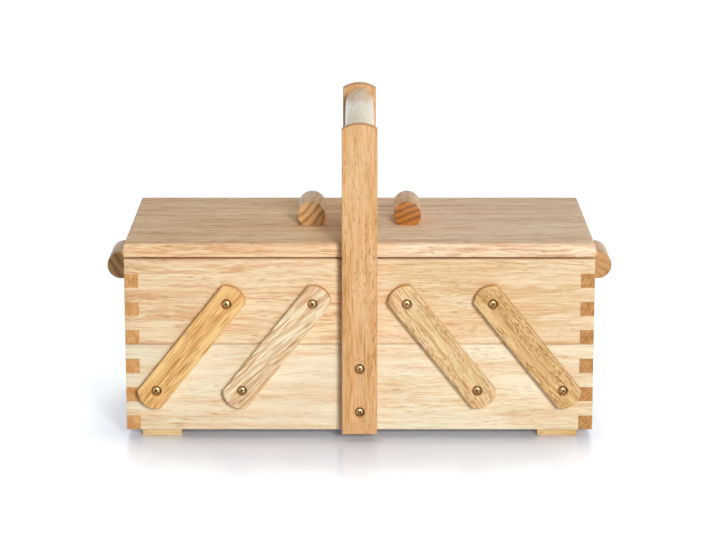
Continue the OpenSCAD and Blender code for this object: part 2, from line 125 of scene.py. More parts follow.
class CarrierSizes(PropertyGroup):
    board_edge: size("Board edge", "Rounding along the rims and corners of the cases", 0.2)
    board_foot_edge: size("Board foot edge", "Rounding along the lower edges of the cases", 0.9)
    panel_edge: size("Panel edge", "Rounding along the edges of bottoms and dividers", 0.3)
    foot_edge: size("Foot edge", "Rounding along the edges of the feet", 0.8)
    lid_upper_edge: size("Lid upper edge", "Rounding along the upper edges of a lid", 3.2)
    lid_under_edge: size("Lid under edge", "Rounding along the lower edges of a lid", 0.5)
    arm_length: size("Arm length", "Distance between the two pivots of an arm", 97.061)
    arm_width: size("Arm width", "Width of an arm", 25)
    arm_thickness: size("Arm thickness", "Thickness of an arm", 8)
    arm_end_radius: size("Arm end radius", "Radius of the arm ends about their pivots", 16)
    eased_edge: size("Eased edge", "Rounding along the edges of arms and uprights", 0.8)
    side_play: size("Side play", "Room between an arm and a screw's head", 0.1)
    fixed_play: size("Fixed play", "Room round a fixed screw or tenon", 0.02)
    pivot_hole: size("Pivot hole", "Diameter of the screw holes in an arm", 4.1)
    counterbore: size("Counterbore", "Diameter of the recess round a domed head", 9)
    counterbore_depth: size("Counterbore depth", "Depth of the recess round a domed head", 2.4)
    bore_edge: size("Bore edge", "Rounding of the rim of a counterbore", 0.25)
    upright_width: size("Upright width", "Width of an upright", 30)
    upright_thickness: size("Upright thickness", "Thickness of an upright", 12)
    crown_radius: size("Crown radius", "Radius of the top of an upright", 27)
    lower_upright_screw: size("Lower upright screw", "Height of the lower screw", 26)
    upper_upright_screw: size("Upper upright screw", "Height of the upper screw", 64)
    grip_diameter: size("Grip diameter", "Diameter of the grip", 25)
    tenon_diameter: size("Tenon diameter", "Diameter of the tenons on the grip", 15)
    tenon_length: size("Tenon length", "Length of a tenon on the grip", 7.9)
    tenon_bore_depth: size("Tenon bore depth", "Depth of the bore for a tenon", 8)
    shoulder_edge: size("Shoulder edge", "Rounding round the shoulders of the grip", 0.4)
    pull_diameter: size("Pull diameter", "Diameter of the dowel of a pull", 24)
    pull_flat: size("Pull flat", "Depth of the flat planed on a pull", 3)
    pull_length: size("Pull length", "Length of a pull", 50)
    pull_edge: size("Pull edge", "Rounding round the ends of a pull", 1.0)
    pull_screw_hole: size("Pull screw hole", "Diameter of the screw holes in a pull", 3.54)
    pull_screw_depth: size("Pull screw depth", "Depth of the screw holes in a pull", 12)
    pull_screw_spacing: size("Pull screw spacing", "Distance between a pull's screws", 28)
    head_diameter: size("Head diameter", "Diameter of the domed screw heads", 8)
    head_height: size("Head height", "Height of the domed screw heads", 2.2)
    head_edge: size("Head edge", "Rounding round a domed head", 0.1)
    shank_diameter: size("Shank diameter", "Diameter of the domed screws' shanks", 4)
    shank_bite: size("Shank bite", "Length of shank held in the wall", 8.5)
    recess_width: size("Recess width", "Width of a wing of the cross recess", 1.3)
    recess_length: size("Recess length", "Length of the cross recess over its wings", 5.4)
    recess_depth: size("Recess depth", "Depth of the cross recess", 1.7)
    metal_edge: size("Metal edge", "Rounding along the edges of the hinges and washers", 0.15)
    leaf_edge: size("Leaf edge", "Rounding along the edges of the hinge leaves", 0.08)
    pad_edge: size("Pad edge", "Rounding round the felt pads", 0.5)


class CarrierColours(PropertyGroup):
    box_pale: pale_tone("Lower box", "#F7EACC")
    box_warm: warm_tone("Lower box", "#F0D6AC")
    left_tray_pale: pale_tone("Left tray", "#F7E0B8")
    left_tray_warm: warm_tone("Left tray", "#EBC192")
    right_tray_pale: pale_tone("Right tray", "#F5DEB9")
    right_tray_warm: warm_tone("Right tray", "#E8C696")
    case_pore: tone("Case, pores", "Pore lines in the boards of the cases", "#AC7238")
    foot_pale: pale_tone("Feet", "#EBD09D")
    foot_warm: warm_tone("Feet", "#DDB67B")
    end_wall_pale: pale_tone("End walls", "#EBCB9C")
    end_wall_warm: warm_tone("End walls", "#DDB27E")
    end_grain: tone("End grain", "Sawn ends of the boards", "#E9B47A")
    end_grain_dark: tone("End grain, dark", "Growth rings in the sawn ends", "#CD9150")
    right_end_grain: tone("Right end grain", "Sawn ends of the right end walls", "#D49D63")
    right_end_grain_dark: tone("Right end grain, dark", "Growth rings of the right ends", "#A7743B")
    upright_pale: pale_tone("Uprights", "#E9BE8B")
    upright_warm: warm_tone("Uprights", "#DBA66B")
    upright_pore: tone("Upright, pores", "Pore lines in the uprights", "#A0662A")
    left_outer_arm_pale: pale_tone("Left outer arms", "#FBCF8C")
    left_outer_arm_warm: warm_tone("Left outer arms", "#DEA357")
    left_inner_arm_pale: pale_tone("Left inner arms", "#FFF1CE")
    left_inner_arm_warm: warm_tone("Left inner arms", "#E4BA89")
    right_inner_arm_pale: pale_tone("Right inner arms", "#F2D5A4")
    right_inner_arm_warm: warm_tone("Right inner arms", "#DFB37F")
    right_outer_arm_pale: pale_tone("Right outer arms", "#E6C189")
    right_outer_arm_warm: warm_tone("Right outer arms", "#CF9F62")
    arm_pore: tone("Arm, pores", "Pore lines in the arms", "#8C5518")
    # The lids' tones are paler and whiter than their wood: partly their own tone, partly painted sheen
    # for the lacquer
    left_lid_pale: pale_tone("Left lid", "#FBDAB0")
    left_lid_warm: warm_tone("Left lid", "#E8B784")
    right_lid_pale: pale_tone("Right lid", "#FDE4C2")
    right_lid_warm: warm_tone("Right lid", "#ECC29A")
    lid_pore: tone("Lid, pores", "Pore lines in the lids", "#8E6234")
    pull_pale: pale_tone("Pulls", "#E8C294")
    pull_warm: warm_tone("Pulls", "#CAA06B")
    # The left pulls' sawn ends are lighter than their wood: painted light that makes up for the shade on
    # them
    left_pull_end: tone("Left pull end", "Sawn ends of the left pulls", "#E8B678")
    left_pull_end_dark: tone("Left pull end, dark", "Growth rings of the left pulls", "#B08653")
    right_pull_end: tone("Right pull end", "Sawn ends of the right pulls", "#BE7420")
    right_pull_end_dark: tone("Right pull end, dark", "Growth rings of the right pulls", "#8C5216")
    right_end_pull_end: tone("Right end pull's end", "Sawn ends of the right end pull", "#C79358")
    right_end_pull_end_dark: tone("Right end pull's end, dark", "Growth rings of that pull", "#AC7C4A")
    ply_face: tone("Plywood face", "Face veneer of bottoms and dividers", "#E8D3AC")
    ply_core: tone("Plywood core", "Darker plies at the edges", "#BB9462")
    brass: tone("Brass", "Screws and hinges", "#C4A274")
    dull_brass: tone("Dull brass", "Worn patches of the brass", "#8A6840")
    # Partly painted shade: the dark in the screws' recesses stands for tarnish and for the shade deep in
    # them
    tarnish: tone("Tarnish", "What gathers in the screws' recesses", "#2A1A0A")
    nylon: tone("Nylon", "Washers behind the arms", "#E9E4D6")
    felt: tone("Felt", "Pads under the lids", "#6E5A46")
    floor: tone("Floor", "The pale floor", "#E6E8EC")


# Edit mode, as by hand


def only(piece):
    """Select this piece alone and make it the active one."""
    bpy.ops.object.select_all(action="DESELECT")
    piece.select_set(True)
    bpy.context.view_layer.objects.active = piece


def pick(piece, kind, wanted):
    """In edit mode, select only the faces, edges or verts that the test wants."""
    bpy.ops.mesh.select_mode(type={"verts": "VERT", "edges": "EDGE", "faces": "FACE"}[kind])
    bpy.ops.mesh.select_all(action="DESELECT")
    shape = bmesh.from_edit_mesh(piece.data)
    for part in getattr(shape, kind):
        if wanted(part):
            part.select_set(True)
    shape.select_flush_mode()
    bmesh.update_edit_mesh(piece.data)


def upward(way=1):
    """A test for faces that face up, or down where the way is -1."""
    return lambda face: face.normal.z * way > 0.9


def start(add, name, **settings):
    """Add a primitive under a name and go into edit mode with all of it selected."""
    bpy.ops.object.select_all(action="DESELECT")
    add(**settings)
    piece = bpy.context.object
    piece.name = piece.data.name = name
    bpy.ops.object.mode_set(mode="EDIT")
    bpy.ops.mesh.select_all(action="SELECT")
    return piece


def soften(piece, edges, width, segments=2):
    """In edit mode, round the edges that the test wants."""
    pick(piece, "edges", edges)
    bpy.ops.mesh.bevel(offset=width, segments=segments, profile=0.5, affect="EDGES")


def slice_off(place, outward, fill=False):
    """In edit mode, cut off all that lies beyond a plane."""
    bpy.ops.mesh.select_all(action="SELECT")
    bpy.ops.mesh.bisect(plane_co=place, plane_no=outward, use_fill=fill, clear_outer=True)


def leave(piece, smooth_degrees=32):
    """Leave edit mode with the normals outward and the rounded edges shaded smooth."""
    bpy.ops.mesh.select_all(action="SELECT")
    bpy.ops.mesh.normals_make_consistent(inside=False)
    bpy.ops.object.mode_set(mode="OBJECT")
    only(piece)
    bpy.ops.object.shade_smooth_by_angle(angle=math.radians(smooth_degrees))


def cut(piece, cutters, operation="DIFFERENCE"):
    """Cut the piece with each cutter in turn; a cut face keeps its cutter's material."""
    for cutter in cutters:
        only(piece)
        modifier = piece.modifiers.new("Cut", "BOOLEAN")
        modifier.operation = operation
        modifier.solver = "EXACT"
        modifier.material_mode = "TRANSFER"
        modifier.object = cutter
        bpy.ops.object.modifier_apply(modifier=modifier.name)
        bpy.data.objects.remove(cutter)
    bpy.ops.object.mode_set(mode="EDIT")
    merge_flat(WELD)


def merge_flat(weld):
    """In edit mode, merge points that meet and faces that lie flush."""
    bpy.ops.mesh.select_all(action="SELECT")
    bpy.ops.mesh.remove_doubles(threshold=weld)
    bpy.ops.mesh.dissolve_limited(angle_limit=math.radians(0.2))


def drill(name, radius, low, high, x=0.0, y=0.0):
    """A round cutter along Z from low to high."""
    bpy.ops.object.select_all(action="DESELECT")
    bpy.ops.mesh.primitive_cylinder_add(
        vertices=64, radius=radius, depth=high - low, location=(x, y, (low + high) / 2)
    )
    cutter = bpy.context.object
    cutter.name = name
    return cutter


def settle(piece, place):
    """Move a piece to its place and write the place into its mesh."""
    piece.matrix_world = place
    only(piece)
    bpy.ops.object.transform_apply(location=True, rotation=True, scale=True)


def twin(piece, name):
    """A copy of a finished piece with a mesh of its own."""
    only(piece)
    bpy.ops.object.duplicate(linked=False)
    copy = bpy.context.object
    copy.name = copy.data.name = name
    return copy


def join(pieces, name):
    """Join like pieces that one body carries into one."""
    bpy.ops.object.select_all(action="DESELECT")
    for piece in pieces:
        piece.select_set(True)
    bpy.context.view_layer.objects.active = pieces[0]
    bpy.ops.object.join()
    joined = bpy.context.object
    joined.name = joined.data.name = name
    return joined


def dress(piece, material, node):
    """Give a finished piece its material and the body and place of the node it replaces.

    Where no material is named, the piece keeps those it has.
    """
    if material:
        piece.data.materials.clear()
        piece.data.materials.append(material_of(material))
    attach(piece, frame["nodes"][node]["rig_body"])
    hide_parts(node)


def finish_board(node, name, *roundings):
    """Copy a packed board, merge its loose triangles and round its edges.

    Each rounding is a test that picks edges, its width and its number of segments.
    """
    source = frame["nodes"][node]
    only(source)
    bpy.ops.object.duplicate(linked=False)
    piece = bpy.context.object
    piece.name = piece.data.name = name
    piece.parent = None
    for key in list(piece.keys()):
        del piece[key]
    bpy.ops.mesh.customdata_custom_splitnormals_clear()
    bpy.ops.object.mode_set(mode="EDIT")
    merge_flat(PACKED_WELD)
    for edges, width, segments in roundings:
        soften(piece, edges, width, segments)
    leave(piece)
    return piece


def finish_node(node, name, material, slot, *roundings):
    """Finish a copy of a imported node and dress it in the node's stead."""
    dress(finish_board(node, name, *roundings), material, node)


def finish_bar(s, bar, thick, screw_hole, spots, *other_holes):
    """Make a flat outline a bar with eased edges and a counterbored hole at each spot.

    Each of the other holes is what drill needs to know of it.
    """
    bpy.ops.mesh.select_all(action="SELECT")
    bpy.ops.mesh.extrude_region_move(TRANSFORM_OT_translate={"value": (0, 0, thick)})
    bpy.ops.mesh.select_all(action="SELECT")
    bpy.ops.transform.translate(value=(0, 0, -thick / 2))
    soften(bar, lambda e: on_planes(e, [(2, thick / 2), (2, -thick / 2)]), s.eased_edge, 3)
    leave(bar)
    cutters = []
    for x, y in spots:
        cutters.append(drill("screw_bore", screw_hole / 2, -thick, thick, x, y))
        bottom = thick / 2 - s.counterbore_depth
        cutters.append(drill("head_bore", s.counterbore / 2, bottom, thick, x, y))
    cut(bar, cutters + [drill(*hole) for hole in other_holes])

    def bore_rim(edge):
        return sharp(edge) and on_planes(edge, [(2, thick / 2)]) and any(
            all(near(math.hypot(v.co.x - x, v.co.y - y), s.counterbore / 2, 0.1 * MM) for v in edge.verts)
            for x, y in spots
        )

    soften(bar, bore_rim, s.bore_edge)
    leave(bar)


def set_down(model, name, place, material, node):
    """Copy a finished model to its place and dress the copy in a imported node's stead."""
    copy = twin(model, name)
    settle(copy, place)
    dress(copy, material, node)


def middle(node):
    """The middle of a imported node's box."""
    low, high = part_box(node)
    return (low + high) / 2


def pivot_rise():
    """How far the upper pivot of a closed arm stands above its lower one."""
    return middle("left_pivot_screws").z - middle("box_pivot_screws").z


def stand_at(end):
    """What stands a flat piece up to face the front or the rear."""
    return STAND_UP if end == "front" else TURN_ROUND @ STAND_UP


def near(a, b, room=0.03 * MM):
    """True where two lengths are as good as equal."""
    return abs(a - b) < room


def on_planes(edge, planes):
    """How many of the planes, given as (axis, place), an edge lies in."""
    ends = [v.co for v in edge.verts]
    return sum(all(near(co[axis], place) for co in ends) for axis, place in planes)


def sharp(edge, degrees=25):
    """True where the two faces of an edge meet at more than these degrees."""
    return len(edge.link_faces) == 2 and edge.calc_face_angle(0.0) > math.radians(degrees)


# Materials

# How a pattern's X is turned to run along the grain of a piece
UNTURNED = (0.0, 0.0, 0.0)
ALONG_Y = (0.0, 0.0, -QUARTER_TURN)
ALONG_Z = (0.0, QUARTER_TURN, 0.0)


def along_arm(degrees):
    """The turn that lays a pattern's X along a line rising to the right at this angle."""
    return (0.0, math.radians(degrees), 0.0)


def colours(*names):
    """The colours that the user's settings hold under these names."""
    return [tuple(getattr(bpy.context.scene.carrier_colours, name)) for name in names]


def add_node(tree, kind, inputs=None, stops=None, output=0, **settings):
    """Add a node with its settings, numbers and links, and give back one of its outputs.

    The kind is the node's type without the ShaderNode that every type starts with.
    """
    node = tree.nodes.new("ShaderNode" + kind)
    for name, value in settings.items():
        setattr(node, name, value)
    for name, value in (inputs or {}).items():
        socket = node.inputs[name]
        if isinstance(value, bpy.types.NodeSocket):
            tree.links.new(value, socket)
        elif socket.type == "RGBA":
            socket.default_value = (*value[:3], 1.0)
        else:
            socket.default_value = value
    if stops:
        elements = node.color_ramp.elements
        while len(elements) < len(stops):
            elements.new(0.5)
        for element, (place, colour) in zip(elements, stops):
            element.position, element.color = place, (*colour, 1.0)
    return node.outputs[output] if node.outputs else node


def new_material(name):
    """A material with an empty tree, and what adds nodes to it."""
    material = bpy.data.materials.new(name)
    material.use_nodes = True
    material.node_tree.nodes.clear()
    return material, partial(add_node, material.node_tree)


def finish_material(material, add, inputs):
    """Give a material its shader with these inputs, and its output."""
    add("OutputMaterial", {"Surface": add("BsdfPrincipled", inputs)})
    return material


def place_in_mm(add, turn=UNTURNED):
    """A pattern's place in mm, turned so that what runs along X in it runs along the grain."""
    place = add("TexCoord", output="Object")
    return add("Mapping", {"Vector": place, "Rotation": turn, "Scale": (1 / MM, 1 / MM, 1 / MM)})


def facing_of(add, turn):
    """The way the surface faces, turned as the pattern is."""
    facing = add("TexCoord", output="Normal")
    return add("Mapping", {"Vector": facing, "Rotation": turn}, vector_type="VECTOR")


def rubberwood(
    name, tones, pore="case_pore", end="end_grain", turn=UNTURNED, ring_mm=3.6,
    ring_centre=(0.0, 70.0, -40.0), bend=9.0, rings=0.34, pores=0.45, pore_mm=8.0, pore_from=0.59,
    blush=0.35, end_rings=0.2, end_from=0.3, fine=0.3, contrast=1.0, gloss=0.22, coat=0.0,
    roughness=0.52,
):
    """Rubberwood, planed, sanded and given a satin lacquer.

    To the eye it is a pale cream wood. Soft tan lines flow along it and swing slowly up and down,
    it blushes pink in patches, and short brown pore lines are strewn over it in crowds. Its sawn
    ends are darker, with faint growth rings. Real pores are 0.2 mm wide; they are drawn about
    1 mm wide, as fine as shows from where the camera stands.
    """
    pale, warm, pore, end_pale, end_dark = colours(
        f"{tones}_pale", f"{tones}_warm", pore, end, f"{end}_dark"
    )
    material, add = new_material(name)
    place = place_in_mm(add, turn)

    # The fibres swing sideways by a few mm over the length of a hand
    swing = add("VectorMath", {0: place, 1: (1 / 85, 1 / 30, 1 / 30)}, operation="MULTIPLY")
    swing = add("TexNoise", {"Vector": swing, "Scale": 1.0, "Detail": 2.0}, output="Color")
    grain = add("VectorMath", {0: swing, 1: (0.0, bend, bend), 2: place}, operation="MULTIPLY_ADD")

    # Noises along the grain: the length and the width of a feature in mm, and its detail
    layers = {}
    for layer, long, wide, detail in (
        ("bands", 190, 15, 1.0),
        ("streaks", 75, 4.2, 2.0),
        ("fibres", 18, 1.05, 1.0),
        ("blush", 70, 11, 2.0),
        ("dashes", pore_mm, 1.05, 0.0),
        ("crowds", 42, 13, 2.0),
        ("smudges", 9, 6, 2.0),
    ):
        noise = add(
            "VectorMath", {0: grain, 1: (1 / long, 1 / wide, 1 / wide)}, operation="MULTIPLY"
        )
        inputs = {"Vector": noise, "Scale": 1.0, "Detail": detail, "Roughness": 0.55}
        layers[layer] = add("TexNoise", inputs)

    # Growth rings about the tree's heart: lines along a board, arcs across its sawn end
    rounds = add("VectorMath", {0: grain, 1: ring_centre}, operation="SUBTRACT")
    rounds = add("VectorMath", {0: rounds, 1: (0.012, 1.0, 1.0)}, operation="MULTIPLY")
    inputs = {"Vector": rounds, "Scale": 0.314 / ring_mm, "Distortion": 3.0, "Detail": 2.0,
              "Detail Scale": 0.25, "Detail Roughness": 0.6}
    layers["rings"] = add(
        "TexWave", inputs, output="Fac", wave_type="RINGS", rings_direction="X"
    )

    # The figure runs from brown through tan to the clear wood
    figure = 0.5 - 0.5 * contrast
    coarse = 1 - fine
    for layer, share in (("bands", 0.49 * coarse), ("streaks", 0.51 * coarse), ("fibres", fine)):
        figure = add(
            "Math", {0: layers[layer], 1: share * contrast, 2: figure}, operation="MULTIPLY_ADD"
        )
    brown = tuple(0.6 * w + 0.4 * p for w, p in zip(warm, pore))
    light = tuple(min(1.0, 1.04 * p + 0.01) for p in pale)
    colour = add(
        "ValToRGB", {"Fac": figure}, [(0.34, brown), (0.43, warm), (0.53, pale), (0.62, light)]
    )

    # Rings and blushes tint it, and pores are laid over it in crowds
    shares = {}
    for share, layer, low, high, least, most in (
        ("rings", "rings", 0.45, 0.95, 0.0, rings),
        ("ring_patches", "blush", 0.40, 0.62, 0.15, 1.0),
        ("blush", "blush", 0.48, 0.68, 0.0, blush),
        ("dashes", "dashes", pore_from, pore_from + 0.15, 0.0, pores),
        ("crowds", "crowds", 0.40, 0.60, 0.12, 1.0),
    ):
        inputs = {"From Min": low, "From Max": high, "To Min": least, "To Max": most}
        shares[share] = add("MapRange", {"Value": layers[layer], **inputs})
    for first, second in (("rings", "ring_patches"), ("dashes", "crowds")):
        shares[first] = add("Math", {0: shares[first], 1: shares[second]}, operation="MULTIPLY")
    rosy = tuple(w * t for w, t in zip(warm, (1.05, 0.95, 0.98)))
    for share, tint in (("rings", brown), ("blush", rosy), ("dashes", pore)):
        colour = add("Mix", {0: shares[share], 6: colour, 7: tint}, output=2, data_type="RGBA")

    # Sawn ends
    sawn = add("Mix", {0: end_rings, 2: layers["smudges"], 3: layers["rings"]})
    sawn = add("ValToRGB", {"Fac": sawn}, [(end_from, end_pale), (0.7, end_dark)])
    along = add("SeparateXYZ", {0: facing_of(add, turn)})
    along = add("Math", {0: along}, operation="ABSOLUTE")
    along = add("MapRange", {"Value": along, "From Min": 0.55, "From Max": 0.85})
    colour = add("Mix", {0: along, 6: colour, 7: sawn}, output=2, data_type="RGBA")

    # A lacquered surface, a little duller and lower in the pores
    inputs = {"Value": shares["dashes"], "To Min": roughness, "To Max": roughness + 0.2}
    dullness = add("MapRange", inputs)
    relief = add("Math", {0: shares["dashes"], 1: figure}, operation="ADD")
    inputs = {"Height": relief, "Strength": 0.3, "Distance": 0.05 * MM}
    relief = add("Bump", inputs, invert=True)
    inputs = {"Base Color": colour, "Roughness": dullness, "Normal": relief,
              "Specular IOR Level": gloss, "Coat Weight": coat, "Coat Roughness": 0.2}
    return finish_material(material, add, inputs)


def plywood(name, face, core):
    """Birch plywood, sanded and left plain: a quiet pale face, darker and dotted at the edges."""
    material, add = new_material(name)
    place = place_in_mm(add)
    colour = face
    for scale, detail, low, high, most in (
        ((1 / 4, 1 / 60, 1 / 4), 3.0, 0.40, 0.75, 0.45),
        ((1 / 1.1, 1 / 7, 1 / 1.1), 1.0, 0.58, 0.72, 0.4),
    ):
        grain = add("VectorMath", {0: place, 1: scale}, operation="MULTIPLY")
        grain = add("TexNoise", {"Vector": grain, "Scale": 1.0, "Detail": detail})
        inputs = {"Value": grain, "From Min": low, "From Max": high, "To Max": most}
        grain = add("MapRange", inputs)
        colour = add("Mix", {0: grain, 6: colour, 7: core}, output=2, data_type="RGBA")
    inputs = {"Base Color": colour, "Roughness": 0.6, "Specular IOR Level": 0.4}
    return finish_material(material, add, inputs)


def turned_brass(name, colour, dulled, low, high):
    """Brass, turned and gone dull with handling: deep yellow, its shine broken by darker patches."""
    material, add = new_material(name)
    inputs = {"Vector": place_in_mm(add), "Scale": 0.5, "Detail": 3.0, "Roughness": 0.6}
    patches = add("TexNoise", inputs)
    toned = add("ValToRGB", {"Fac": patches}, [(0.42, colour), (0.70, dulled)])
    gloss = add("MapRange", {"Value": patches, "To Min": low, "To Max": high})
    inputs = {"Base Color": toned, "Metallic": 1.0, "Roughness": gloss}
    return finish_material(material, add, inputs)


def moulded_nylon(name, colour):
    """Nylon, moulded: milky, with a soft sheen and light crossing its thin edges."""
    material, add = new_material(name)
    inputs = {"Vector": place_in_mm(add), "Scale": 0.3, "Detail": 2.0}
    clouds = add("TexNoise", inputs)
    shade = tuple(c * 0.85 for c in colour)
    toned = add("ValToRGB", {"Fac": clouds}, [(0.2, colour), (0.8, shade)])
    inputs = {"Base Color": toned, "Roughness": 0.45, "IOR": 1.53, "Subsurface Weight": 0.15,
              "Subsurface Scale": 0.5 * MM}
    return finish_material(material, add, inputs)


def pressed_felt(name, colour):
    """Wool felt, pressed and punched: dull and flecked, with a soft nap."""
    material, add = new_material(name)
    inputs = {"Vector": place_in_mm(add), "Scale": 2.5, "Detail": 4.0, "Roughness": 0.7}
    flecks = add("TexNoise", inputs)
    dark = tuple(c * 0.6 for c in colour)
    light = tuple(min(1.0, c * 1.5) for c in colour)
    toned = add("ValToRGB", {"Fac": flecks}, [(0.3, dark), (0.7, light)])
    inputs = {"Height": flecks, "Strength": 0.6, "Distance": 0.3 * MM}
    nap = add("Bump", inputs)
    inputs = {"Base Color": toned, "Roughness": 0.95, "Normal": nap, "Sheen Weight": 0.3,
              "Sheen Roughness": 0.5}
    return finish_material(material, add, inputs)


# What each wood has of its own: its tones, pores and sawn ends, how it lies and how it is figured
WOODS = {
    "box": dict(ring_mm=5.0, rings=0.25, pores=0.3, fine=0.32, contrast=0.98),
    "left_tray": dict(
        ring_mm=4.4, ring_centre=(60.0, 40.0, -10.0), bend=14.0, rings=0.45, pores=0.35, fine=0.34,
        contrast=1.15,
    ),
    "right_tray": dict(
        ring_mm=3.4, bend=7.0, rings=0.3, pores=0.28, pore_mm=6.0, pore_from=0.57, blush=0.45,
        fine=0.36, contrast=0.95,
    ),
    "left_end_wall": dict(
        tones="end_wall", turn=ALONG_Y, ring_centre=(0.0, 30.0, 150.0), end_rings=0.12,
    ),
    "right_end_wall": dict(
        tones="end_wall", end="right_end_grain", turn=ALONG_Y, ring_centre=(0.0, -40.0, 190.0),
        end_rings=0.12,
    ),
    "upright": dict(
        pore="upright_pore", turn=ALONG_Z, ring_centre=(0.0, 30.0, 60.0), bend=5.0, rings=0.2,
        pores=0.38, pore_mm=5.0, pore_from=0.56, blush=0.4, fine=0.42, contrast=1.15,
    ),
    "left_outer_arm": dict(
        pore="arm_pore", turn=along_arm(51.4), ring_centre=(0.0, 30.0, 90.0), ring_mm=4.6,
        rings=0.5, pores=0.45, pore_mm=12.0, blush=0.2, fine=0.42, contrast=1.3,
    ),
    "left_inner_arm": dict(
        pore="arm_pore", turn=along_arm(41.0), ring_centre=(0.0, 60.0, 30.0), ring_mm=3.2,
        rings=0.6, pores=0.4, blush=0.4, fine=0.42, contrast=1.2,
    ),
    "right_inner_arm": dict(
        pore="arm_pore", turn=along_arm(-54.0), ring_centre=(0.0, 30.0, 90.0), rings=0.25,
        pores=0.6, pore_mm=4.5, pore_from=0.55, blush=0.2, fine=0.42, contrast=1.2,
    ),
    "right_outer_arm": dict(
        pore="arm_pore", turn=along_arm(-48.0), ring_centre=(0.0, 30.0, 90.0), rings=0.2,
        pores=0.7, pore_mm=4.0, pore_from=0.52, blush=0.2, fine=0.42, contrast=1.4,
    ),
    # The lids reflect little; part of their sheen is painted into their tones as painted sheen
    "left_lid": dict(
        pore="lid_pore", ring_centre=(0.0, 20.0, 60.0), gloss=0.3, roughness=0.58, rings=0.3,
        fine=0.42, contrast=1.05,
    ),
    "right_lid": dict(
        pore="lid_pore", ring_centre=(0.0, -30.0, 60.0), gloss=0.3, roughness=0.58, rings=0.3,
        pores=0.45, fine=0.38, contrast=1.02,
    ),
    "foot": dict(ring_centre=(0.0, 0.0, 60.0)),
    # Painted light: this pull's sawn ends are lightened to make up for the shade that falls on them
    "left_pull": dict(
        tones="pull", pore="lid_pore", end="left_pull_end", turn=ALONG_Y, ring_mm=6.4,
        ring_centre=(0.0, 81.0, 226.0), end_rings=0.45, end_from=0.42, gloss=0.4, coat=0.2,
    ),
    "right_pull": dict(
        tones="pull", pore="lid_pore", end="right_pull_end", turn=ALONG_Y, ring_mm=5.8,
        ring_centre=(0.0, -20.0, 236.0), end_rings=0.45, end_from=0.42, gloss=0.4, coat=0.2,
    ),
    "right_end_pull": dict(
        tones="pull", pore="lid_pore", end="right_end_pull_end", turn=ALONG_Y, ring_mm=6.0,
        ring_centre=(0.0, -190.0, 110.0), end_rings=0.35, end_from=0.42, gloss=0.4, coat=0.2,
    ),
    "grip": dict(
        tones="box", turn=ALONG_Y, ring_centre=(0.0, 15.0, 240.0), gloss=0.5, coat=0.8, rings=0.1,
        pores=0.12, blush=0.2,
    ),
}

# The other materials: what makes each, its colours and, for brass, how rough it is at either end
OTHER_MATERIALS = {
    "birch_plywood": (plywood, ("ply_face", "ply_core"), ()),
    "turned_brass": (turned_brass, ("brass", "dull_brass"), (0.2, 0.42)),
    # Tarnish together with painted shade, for the faces of the cross recesses
    "tarnished_brass": (turned_brass, ("dull_brass", "tarnish"), (0.4, 0.6)),
    "moulded_nylon": (moulded_nylon, ("nylon",), ()),
    "pressed_felt": (pressed_felt, ("felt",), ()),
}


def material_of(name):
    """A material by its name, made when a piece first asks for it."""
    found = bpy.data.materials.get(name)
    if found:
        return found
    wood = name.removesuffix("_rubberwood")
    if wood in WOODS:
        return rubberwood(name, **{"tones": wood, **WOODS[wood]})
    make, tones, numbers = OTHER_MATERIALS[name]
    return make(name, *colours(*tones), *numbers)


# The pieces


class CARRIER_OT_case_boards(Operator):
    """Finish the twelve walls of the lower box and the two trays"""

    bl_idname = "carrier.case_boards"
    bl_label = "Case boards"

    def execute(self, context):
        s = context.scene.carrier_sizes
        self.finish_case(s, "box", ("front", "rear", "left", "right"))
        for side in SIDES:
            self.finish_case(s, f"{side}_tray", ("front", "rear", "outer", "inner"))
        return {"FINISHED"}

    def finish_case(self, s, case, walls):
        """Round the corners, the rims and the lower edges of a case, and leave its joints sharp."""
        boxes = {wall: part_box(f"{case}_{wall}_wall") for wall in walls}
        low = [min(box[0][axis] for box in boxes.values()) for axis in range(3)]
        high = [max(box[1][axis] for box in boxes.values()) for axis in range(3)]
        outside = [(axis, place) for axis in (0, 1) for place in (low[axis], high[axis])]
        for wall, (wall_low, wall_high) in boxes.items():
            is_long = wall in ("front", "rear")
            across = 1 if is_long else 0
            faces = [(across, wall_low[across]), (across, wall_high[across])] + outside

            def foot_edge(edge):
                return sharp(edge) and on_planes(edge, [(2, low[2])]) and on_planes(edge, faces)

            def other_edge(edge):
                on_rim = on_planes(edge, [(2, high[2])]) and on_planes(edge, faces)
                return sharp(edge) and (on_planes(edge, outside) >= 2 or on_rim)

            side = "left" if "left" in case + wall else "right"
            material = f"{case}_rubberwood" if is_long else f"{side}_end_wall_rubberwood"
            slot = "pale_wood" if is_long else "end_wall_wood"
            node = f"{case}_{wall}_wall"
            finish_node(
                node, f"{node}_board", material, slot,
                (foot_edge, s.board_foot_edge, 3), (other_edge, s.board_edge, 2),
            )


class CARRIER_OT_panels(Operator):
    """Finish the plywood bottoms and dividers"""

    bl_idname = "carrier.panels"
    bl_label = "Bottoms and dividers"

    def execute(self, context):
        s = context.scene.carrier_sizes
        trays = [f"{side}_tray_{piece}" for side in SIDES for piece in ("bottom", "divider")]
        for node in ["box_bottom"] + trays:
            finish_node(node, f"{node}_panel", "birch_plywood", "plywood", (sharp, s.panel_edge, 2))
        return {"FINISHED"}


class CARRIER_OT_feet(Operator):
    """Finish the four foot blocks"""

    bl_idname = "carrier.feet"
    bl_label = "Feet"

    def execute(self, context):
        s = context.scene.carrier_sizes
        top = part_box("feet")[1].z

        def worn_edge(edge):
            return sharp(edge) and on_planes(edge, [(2, top)]) == 0

        rounding = (worn_edge, s.foot_edge, 3)
        finish_node("feet", "foot_blocks", "foot_rubberwood", "pale_wood", rounding)
        return {"FINISHED"}


